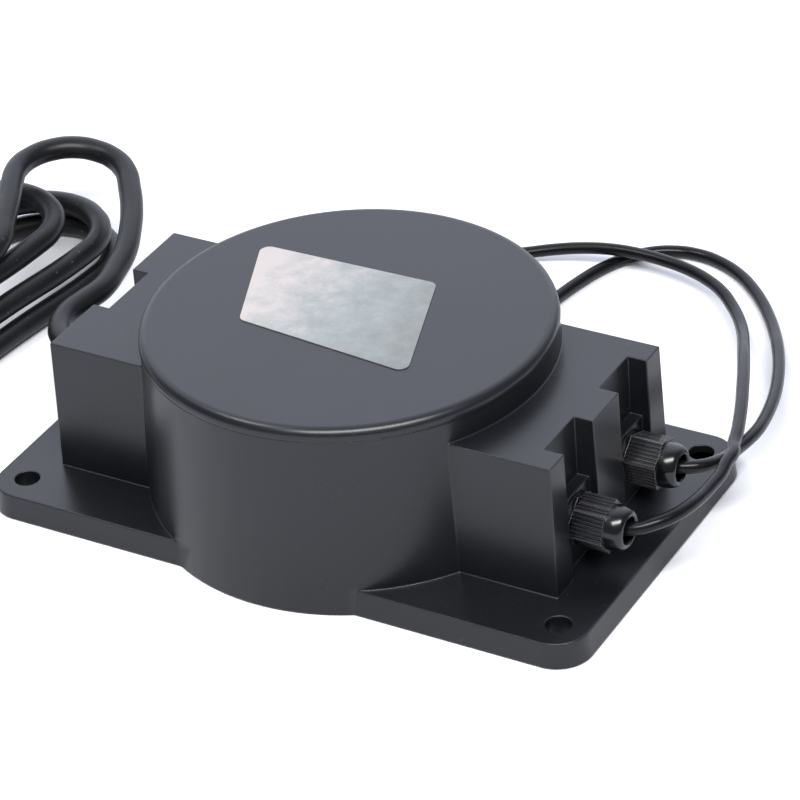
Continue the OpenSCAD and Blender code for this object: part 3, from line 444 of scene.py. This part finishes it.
def strand_tree(material):
    """Twisted strands, with their sizes as inputs."""
    tree = bpy.data.node_groups.new("twisted_strands", "GeometryNodeTree")
    for name, kind in (("Geometry", "NodeSocketGeometry"), ("Length", "NodeSocketFloat"),
                       ("Lay radius", "NodeSocketFloat"), ("Strand radius", "NodeSocketFloat"),
                       ("Twist", "NodeSocketFloat"), ("Strands", "NodeSocketInt")):
        tree.interface.new_socket(name, in_out="INPUT", socket_type=kind)
    tree.interface.new_socket("Geometry", in_out="OUTPUT", socket_type="NodeSocketGeometry")
    given = add(tree, "NodeGroupInput").outputs
    strand = add(tree, "GeometryNodeCurveSpiral", {"Resolution": STRAND_STEPS},
                 {"Rotations": given["Twist"], "Start Radius": given["Lay radius"],
                  "End Radius": given["Lay radius"], "Height": given["Length"]})
    ring = add(tree, "GeometryNodeCurvePrimitiveCircle", {"Resolution": STRAND_SIDES},
               {"Radius": given["Strand radius"]})
    wire = add(tree, "GeometryNodeCurveToMesh", {"Fill Caps": True},
               {"Curve": strand.outputs["Curve"], "Profile Curve": ring.outputs["Curve"]})
    count = add(tree, "GeometryNodeMeshLine", {"Offset": (0, 0, 0)}, {"Count": given["Strands"]})
    part = add(tree, "ShaderNodeMath", {"operation": "DIVIDE", 0: 2 * math.pi}, {1: given["Strands"]})
    angle = add(tree, "ShaderNodeMath", {"operation": "MULTIPLY"},
                {0: add(tree, "GeometryNodeInputIndex").outputs["Index"], 1: part.outputs["Value"]})
    spin = add(tree, "ShaderNodeCombineXYZ", links={"Z": angle.outputs["Value"]})
    laid = add(tree, "GeometryNodeInstanceOnPoints",
               links={"Points": count.outputs["Mesh"], "Instance": wire.outputs["Mesh"],
                      "Rotation": spin.outputs["Vector"]})
    solid = add(tree, "GeometryNodeRealizeInstances", links={"Geometry": laid.outputs["Instances"]})
    dressed = add(tree, "GeometryNodeSetMaterial", {"Material": material},
                  {"Geometry": solid.outputs["Geometry"]})
    add(tree, "NodeGroupOutput", links={"Geometry": dressed.outputs["Geometry"]})
    return tree


def grown(name, tree, values):
    """The plain mesh that a node tree grows from its named sizes."""
    seed = bpy.data.objects.new(name, bpy.data.meshes.new(name))
    bpy.context.scene.collection.objects.link(seed)
    growth = seed.modifiers.new("grow", "NODES")
    growth.node_group = tree
    for socket in tree.interface.items_tree:
        if socket.in_out == "INPUT" and socket.name in values:
            growth[socket.identifier] = values[socket.name]
    bpy.context.view_layer.update()
    mesh = bpy.data.meshes.new_from_object(seed.evaluated_get(bpy.context.evaluated_depsgraph_get()))
    seed.modifiers.clear()
    seed.data = mesh
    return seed


strands_of = strand_tree(tinned_strand)
for side, (cord, points) in output_cords.items():
    ahead = (points[-1] - points[-2]).normalized()
    end = grown(side + "_strands", strands_of, {
        "Length": STRIP_L * MM, "Lay radius": LAY_R * MM, "Strand radius": STRAND_R * MM,
        "Twist": STRIP_L / STRAND_LAY, "Strands": STRANDS})
    form = bmesh.new()
    form.from_mesh(end.data)
    bmesh.ops.create_cone(form, cap_ends=True, segments=BUNDLE_SIDES, radius1=LAY_R * MM, radius2=LAY_R * MM,
                          depth=STRIP_L * MM, matrix=Matrix.Translation((0, 0, STRIP_L / 2 * MM)))
    bmesh.ops.recalc_face_normals(form, faces=form.faces)
    form.to_mesh(end.data)
    form.free()
    turned = ahead.to_track_quat("Z", "Y").to_matrix().to_4x4()
    end.data.transform(Matrix.Translation(points[-1] * MM) @ turned)
    end.data.shade_smooth()
    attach(end, "transformer")
    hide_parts(side + "_lead_end")
    output_cords[side] = (cord, points, end)

# Ties
# Flat twist ties hold the hank's runs and the two coils: a black plastic
# strip over a thin wire, wrapped once round the runs, with its two ends
# twisted together.
TIE_W = 4.0
TIE_T = 0.45
TIE_WIRE = 0.5
TIE_GAP = 0.3
TIE_FLOOR = 0.3
TIE_ROUND = 32
TIE_STEP = 1.5
# Its ends start a little behind the top, arch upwards and lie apart from
# their own middle line, further over the last share of their length
TIE_END_L = 11
TIE_END_BACK = 1
TIE_END_STEPS = 30
TIE_TWISTS = 1.5
TIE_APART = 0.55
TIE_FRAY = 0.8
TIE_FRAY_SHARE = 0.75
TIE_ARCH = 1.4
TIE_SECTION = [
    (-TIE_T / 2, -TIE_W / 2), (-TIE_T / 2, TIE_W / 2), (TIE_T / 2, TIE_W / 2), (TIE_T / 2, TIE_WIRE),
    (TIE_WIRE, TIE_WIRE / 3), (TIE_WIRE, -TIE_WIRE / 3), (TIE_T / 2, -TIE_WIRE), (TIE_T / 2, -TIE_W / 2),
]
UP = Vector((0, 0, 1))

# Extruded polyethylene strip: smooth, slightly creased and fairly glossy
creased_strip = finish_of("creased_polyethylene", "#121214", "#1d1d20", rough=0.3, grain_mm=1.6,
                          mottle_mm=5, bump_mm=0.12)


def sweep(form, stations, closed):
    """Runs the tie's section through stations, each a place, an outward and a sideways direction."""
    rings = [[form.verts.new((at + out * t + side * s) * MM) for t, s in TIE_SECTION]
             for at, out, side in stations]
    pairs = list(zip(rings, rings[1:])) + ([(rings[-1], rings[0])] if closed else [])
    for a, b in pairs:
        for i in range(len(a)):
            j = (i + 1) % len(a)
            form.faces.new((a[i], a[j], b[j], b[i]))
    if not closed:
        form.faces.new(rings[0][::-1])
        form.faces.new(rings[-1])


def drawn_tight(runs, reach):
    """Points of the shortest loop that keeps its reach from the runs' middles."""
    spots = []
    for across, high in runs:
        for i in range(TIE_ROUND):
            a = 2 * math.pi * i / TIE_ROUND
            spots.append(Vector((across + reach * math.cos(a), high + reach * math.sin(a))))
    hull = [spots[i] for i in geometry.convex_hull_2d(spots)]
    loop = []
    for p, q in zip(hull, hull[1:] + hull[:1]):
        parts = max(1, int((q - p).length / TIE_STEP))
        loop += [p.lerp(q, i / parts) for i in range(parts)]
    return loop


def twisted_end(root, across, along, turned):
    """Stations of one end, which winds round the other as it runs out from the root."""
    for i in range(TIE_END_STEPS + 1):
        t = i / TIE_END_STEPS
        a = turned + 2 * math.pi * TIE_TWISTS * t
        out = math.cos(a) * UP + math.sin(a) * along
        side = -math.sin(a) * UP + math.cos(a) * along
        spread = TIE_APART + TIE_FRAY * max(0, t - TIE_FRAY_SHARE)
        arch = Vector((0, 0, TIE_ARCH * math.sin(math.pi * t)))
        yield root + across * (TIE_END_L * t - TIE_END_BACK) + out * spread + arch, out, side


def tie_round(name, runs, radius, origin, across, along):
    """A tie round the runs, each at (across, up) in the plane through origin that along is square to."""
    loop = drawn_tight(runs, radius + TIE_GAP + TIE_T / 2)
    runs_left = sum(f.x * g.y - f.y * g.x for f, g in zip(loop, loop[1:])) >= 0
    band = []
    for i, p in enumerate(loop):
        flow = (loop[(i + 1) % len(loop)] - loop[i - 1]).normalized()
        out = across * flow.y - UP * flow.x
        band.append((origin + across * p.x + UP * max(p.y, TIE_FLOOR), out if runs_left else -out, along))
    top = max(loop, key=lambda p: (round(p.y, 2), p.x))
    root = origin + across * top.x + UP * (top.y + TIE_WIRE)
    form = bmesh.new()
    sweep(form, band, True)
    for turned in (0, math.pi):
        sweep(form, twisted_end(root, across, along, turned), False)
    bmesh.ops.recalc_face_normals(form, faces=form.faces)
    tie = bpy.data.objects.new(name, bpy.data.meshes.new(name))
    form.to_mesh(tie.data)
    form.free()
    tie.data.shade_smooth()
    tie.data.materials.append(creased_strip)
    bpy.context.scene.collection.objects.link(tie)
    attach(tie, "transformer")
    return tie


def crossings(points, origin, along):
    """Where a route passes through the plane through origin that along is square to."""
    for p, q in zip(points, points[1:]):
        a, b = (p - origin).dot(along), (q - origin).dot(along)
        if a * b <= 0 and a != b:
            yield p.lerp(q, a / (a - b))


# One tie holds the hank's left runs and one its right runs, which part here
HANK_TIE_AT = -61
HANK_PARTS_AT = 20
tie_origin = hank_at(HANK_TIE_AT, 0, 0)
hank_cuts = [((p - tie_origin).dot(hank_across), p.z)
             for p in crossings(hank_route[2:], tie_origin, hank_along)]
for side, runs in (("left", [c for c in hank_cuts if c[0] < HANK_PARTS_AT]),
                   ("right", [c for c in hank_cuts if c[0] > HANK_PARTS_AT])):
    tie_round("mains_hank_tie_" + side, runs, MAINS_D / 2, tie_origin,
                               hank_across, hank_along)

# Each coil has one tie, this many degrees round from where the lead comes in
COIL_TIE_TURN = 60
for side, route, way, y in (("front", FRONT_ROUTE, 1, -0.0179), ("rear", REAR_ROUTE, -1, 0.0179)):
    cord, points, end = output_cords[side]
    middle = coil_middle(route, way)
    middle.z = 0
    outwards = Matrix.Rotation(math.radians(COIL_TIE_TURN), 3, "Z") @ heading(route)
    square = Vector((-outwards.y, outwards.x, 0))
    cuts = [((p - middle).dot(outwards), p.z) for p in crossings(points[len(route):], middle, square)]
    tie = tie_round(side + "_coil_tie", [c for c in cuts if c[0] > 0], LEAD_D / 2, middle, outwards, square)

# Housing
# One injection moulding in satin black ABS: drum, blocks and flange, with a
# fine spark-eroded grain. The tool leaves its edges slightly rounded, and
# handling has rubbed the open ones a little paler, with a painted highlight on them.
EDGE_BEVEL = 0.35
EDGE_ROUND = 0.6
BEVEL_FROM = 50
SHARP_FROM = 30
FLAT_WITHIN = 0.4
SAME_POINT = 0.001

# Moulded ABS: an even satin with a barely visible grain of 0.3 mm, drawn at
# 0.7 mm so that it shows, and slow drifts of gloss from the flow in the tool
moulded_abs = finish_of("moulded_abs", "#101114", "#16171b", rough=0.3, grain_mm=0.7, mottle_mm=45,
                        bump_mm=0.012, spread=0.03, specks=("#3a3b41", 0.9, 0.74), streak=(1, 1, 0.35),
                        edge_mm=EDGE_ROUND)


def shaped_copy(node, name, bevel_mm, body, face):
    """A solid's own shape, smooth where it curves, with its edges bevelled, or kept sharp at no width."""
    piece = bpy.data.objects.new(name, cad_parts[node].data.copy())
    bpy.context.scene.collection.objects.link(piece)
    form = bmesh.new()
    form.from_mesh(piece.data)
    bmesh.ops.remove_doubles(form, verts=form.verts, dist=SAME_POINT * MM)
    bmesh.ops.dissolve_limit(form, angle_limit=math.radians(FLAT_WITHIN), verts=form.verts, edges=form.edges)
    form.to_mesh(piece.data)
    form.free()
    piece.data.materials.clear()
    piece.data.materials.append(face)
    piece.data.shade_smooth()
    if bevel_mm:
        bevel = piece.modifiers.new("round", "BEVEL")
        bevel.width = bevel_mm * MM
        bevel.segments = 2
        bevel.limit_method = "ANGLE"
        bevel.angle_limit = math.radians(BEVEL_FROM)
        bevel.use_clamp_overlap = False
        piece.modifiers.new("even", "WEIGHTED_NORMAL").keep_sharp = True
        bpy.context.view_layer.update()
        evaluated = piece.evaluated_get(bpy.context.evaluated_depsgraph_get())
        finished = bpy.data.meshes.new_from_object(evaluated)
        piece.modifiers.clear()
        piece.data = finished
    else:
        piece.data.set_sharp_from_angle(angle=math.radians(SHARP_FROM))
    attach(piece, body)
    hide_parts(node)
    return piece


shaped_copy("housing", "housing_shell", EDGE_BEVEL, "transformer", moulded_abs)

# Inside
# A ring core with its windings and joints, pressed to a pad under the top and
# cast in resin. Only the resin's face shows, underneath.

# Cast polyurethane: poured and level, so it is dark and smooth with a soft
# gloss
dress("potting_resin", finish_of("cast_polyurethane", "#1b1c1e", "#26282a", rough=0.3, grain_mm=2.0,
                                 mottle_mm=30, bump_mm=0.05))
# Wound silicon steel strip: a dull blue-grey metal
dress("ring_core", finish_of("wound_silicon_steel", "#7d8084", "#9a9da1", rough=0.35, grain_mm=0.6,
                             mottle_mm=8, bump_mm=0.02, metal=1.0))
# Wrapped polyester film: amber and shiny, with soft ripples
wrapped_film = finish_of("wrapped_polyester_film", "#c9a42f", "#e0bf4a", rough=0.25, grain_mm=1.5,
                         mottle_mm=12, bump_mm=0.05)
for node in ("core_wrap", "winding_barrier", "outer_wrap"):
    dress(node, wrapped_film)
# Enamelled copper wire: warm red metal, ridged by its turns
enamelled_copper = finish_of("enamelled_copper", "#a4521f", "#c56d31", rough=0.3, grain_mm=0.9,
                             mottle_mm=4, bump_mm=0.2, metal=1.0)
for node in ("primary_winding", "secondary_winding", "primary_ends", "secondary_ends"):
    dress(node, enamelled_copper)
# Cut rubber sheet: a dry, matt grey with open pores
dress("top_pad", finish_of("cut_rubber_sheet", "#3d3f41", "#4c4e50", rough=0.8, grain_mm=0.7,
                           mottle_mm=6, bump_mm=0.2))
# Plated brass can: pale and bright, almost without grain
dress("thermal_fuse", finish_of("plated_brass", "#c8c5bb", "#dcd9d0", rough=0.35, grain_mm=0.6,
                                mottle_mm=4, bump_mm=0.02, metal=1.0))
# Shrunk polyolefin sleeve: smooth red with a satin face
dress("output_splices", finish_of("shrunk_polyolefin", "#a32820", "#bc342a", rough=0.35, grain_mm=0.8,
                                  mottle_mm=5, bump_mm=0.02))
for node, face in (("live_core", brown_pvc), ("neutral_core", blue_pvc), ("neutral_crimp", crimped_tin),
                   ("mains_tail", extruded_rubber), ("output_tail_front", extruded_pvc),
                   ("output_tail_rear", extruded_pvc)):
    dress(node, face)

# Glands
# Nylon cable glands: a flat rubber gasket, a hexagon collar on a threaded
# body, and a ribbed dome nut that closes the rubber seal on the lead. The
# nylon is glossier than the housing.
NUT_EDGE = 0.24

# Moulded nylon 6: deep black with a clear gloss; its open edges and rib crests are painted light grey, a
# painted highlight with some wear
moulded_nylon = finish_of("moulded_nylon", "#09090b", "#0e0e11", rough=0.2, grain_mm=0.6, mottle_mm=6,
                          bump_mm=0.01, spread=0.04, ior=1.53, edge_mm=NUT_EDGE, edge_wear_and_highlight="#68696e")
# Moulded chloroprene: matt black, with no highlight of its own
moulded_chloroprene = finish_of("moulded_chloroprene", "#101012", "#18181a", rough=0.6, grain_mm=0.4,
                                mottle_mm=5, bump_mm=0.03)
for gland in ("mains", "front", "rear"):
    shaped_copy(gland + "_dome_nut", gland + "_ribbed_nut", 0, gland + "_nut", moulded_nylon)
    shaped_copy(gland + "_gland_body", gland + "_hex_body", 0, "transformer", moulded_nylon)
    for node in ("gland_gasket", "gland_seal"):
        dress(f"{gland}_{node}", moulded_chloroprene)
dress("mains_lock_nut", moulded_nylon)

# Label
# Silver polyester foil, stuck on the drum and left bare. A painted reflection, a cloudy
# sheen, runs in its colour from warm lavender on the left to grey-green on the right.
# Painted reflection on the foil: its colours from left to right, where they stand across the label, and the
# size and swing of its clouds
FOIL_PAINTED_SHEEN_LEFT, FOIL_PAINTED_SHEEN_MIDDLE, FOIL_PAINTED_SHEEN_RIGHT = "#bab1ac", "#929694", "#787b78"
PAINTED_SHEEN_STOPS = (0.1, 0.5, 0.95)
CLOUD_MM = 7
CLOUD_SWING = 0.9

# Satin foil: half metal, half lacquer, with a soft reflection of its own and a painted sheen in its colour
foil_with_painted_sheen = finish_of("foil_with_painted_sheen", FOIL_PAINTED_SHEEN_LEFT, FOIL_PAINTED_SHEEN_RIGHT, rough=0.36, grain_mm=0.7, mottle_mm=5,
                       bump_mm=0.012, metal=0.35)
tree = foil_with_painted_sheen.node_tree
# The painted reflection: the foil's colour runs across the label from left to right, swung by clouds
low, high = (Vector(c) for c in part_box("rating_label"))
place = tree.nodes["Texture Coordinate"].outputs["Object"]
axes = add(tree, "ShaderNodeSeparateXYZ", links={"Vector": place})
cloud = add(tree, "ShaderNodeTexNoise", {"Scale": 1 / (CLOUD_MM * MM), "Detail": 5.0, "Roughness": 0.7},
            {"Vector": place})
drift = add(tree, "ShaderNodeMapRange", {"From Min": low.x, "From Max": high.x}, {"Value": axes.outputs["X"]})
swing = add(tree, "ShaderNodeMath", {"operation": "MULTIPLY_ADD", 1: CLOUD_SWING, 2: -CLOUD_SWING / 2},
            {0: cloud.outputs["Fac"]})
painted_sheen_across = add(tree, "ShaderNodeMath", {"operation": "ADD"},
                  {0: drift.outputs["Result"], 1: swing.outputs["Value"]})
painted_sheen_ramp = tree.nodes["Color Ramp"]
painted_sheen_ramp.color_ramp.elements[0].position = PAINTED_SHEEN_STOPS[0]
painted_sheen_ramp.color_ramp.elements[1].position = PAINTED_SHEEN_STOPS[2]
painted_sheen_ramp.color_ramp.elements.new(PAINTED_SHEEN_STOPS[1]).color = hex_colour(FOIL_PAINTED_SHEEN_MIDDLE)
tree.links.new(painted_sheen_across.outputs["Value"], painted_sheen_ramp.inputs["Fac"])
dress("rating_label", foil_with_painted_sheen)

# Studio
# Seamless white paper in a dim light tent with a bright panel behind the
# part. A long strip softbox overhead, a little in front, draws the highlight
# along the rim and the cords, and a weak one stands on the left. All sizes
# here are in metres.
FLOOR_HALF = 6
FLOOR_DROP = 0.0004
FLOOR_CORNERS = ((-1, -1), (1, -1), (1, 1), (-1, 1))
floor = bpy.data.objects.new("studio_floor", bpy.data.meshes.new("studio_floor"))
floor.data.from_pydata([(x * FLOOR_HALF, y * FLOOR_HALF, 0) for x, y in FLOOR_CORNERS], [], [(0, 1, 2, 3)])
bpy.context.scene.collection.objects.link(floor)
floor.location.z = -FLOOR_DROP

# Uncoated paper: plain white and matt, and a little duller where the black
# plastic mirrors it
PAPER, MIRRORED_PAPER = "#f6f6f9", "#dcdde2"
paper = bpy.data.materials.new("uncoated_paper")
paper.use_nodes = True
tree = paper.node_tree
shader = tree.nodes["Principled BSDF"]
shader.inputs["Roughness"].default_value = 0.9
shader.inputs["Specular IOR Level"].default_value = 0.1
mirrored = add(tree, "ShaderNodeLightPath").outputs["Is Glossy Ray"]
white = add(tree, "ShaderNodeMix", {"data_type": "RGBA", 6: hex_colour(PAPER), 7: hex_colour(MIRRORED_PAPER)},
            {0: mirrored})
tree.links.new(white.outputs[2], shader.inputs["Base Color"])
floor.data.materials.append(paper)

# The tent glows from TENT_FRONT, on the camera's side, to TENT_BACK straight
# behind the part, between two cosines of the angle to that place
TENT_BACK = 1.75
TENT_FRONT = 0.24
TENT_DIM_TO = 0.45
TENT_BRIGHT_FROM = 0.97
TENT_TINT = (0.86, 0.91, 1.05, 1)
world = bpy.data.worlds.new("light_tent")
world.use_nodes = True
tree = world.node_tree
way_out = add(tree, "ShaderNodeTexCoord").outputs["Generated"]
behind = (-towards_camera.x, -towards_camera.y, towards_camera.z)
facing = add(tree, "ShaderNodeVectorMath", {"operation": "DOT_PRODUCT", 1: behind}, {0: way_out})
glow = add(tree, "ShaderNodeMapRange",
           {"interpolation_type": "SMOOTHSTEP", "From Min": TENT_DIM_TO, "From Max": TENT_BRIGHT_FROM,
            "To Min": TENT_FRONT, "To Max": TENT_BACK}, {"Value": facing.outputs["Value"]})
tree.nodes["Background"].inputs["Color"].default_value = TENT_TINT
tree.links.new(glow.outputs["Result"], tree.nodes["Background"].inputs["Strength"])
bpy.context.scene.world = world

# Both softboxes face a point just over the floor, in the middle of the part
AIM = Vector((0, 0, 0.03))
for name, at, length, width, watts in (
        ("key_strip", (0.38, -0.54, 1.06), 1.1, 0.3, 20),
        ("left_strip", (-0.5, -0.28, 1.05), 0.35, 0.2, 3)):
    light = bpy.data.objects.new(name, bpy.data.lights.new(name, "AREA"))
    light.data.shape = "RECTANGLE"
    light.data.size = length
    light.data.size_y = width
    light.data.energy = watts
    away = (Vector(at) - AIM).normalized()
    lengthwise = UP.cross(away).normalized()
    widthwise = away.cross(lengthwise)
    light.matrix_world = Matrix((
        *((lengthwise[i], widthwise[i], away[i], at[i]) for i in range(3)), (0, 0, 0, 1)))
    bpy.context.scene.collection.objects.link(light)

bpy.context.scene.view_settings.view_transform = "Standard"
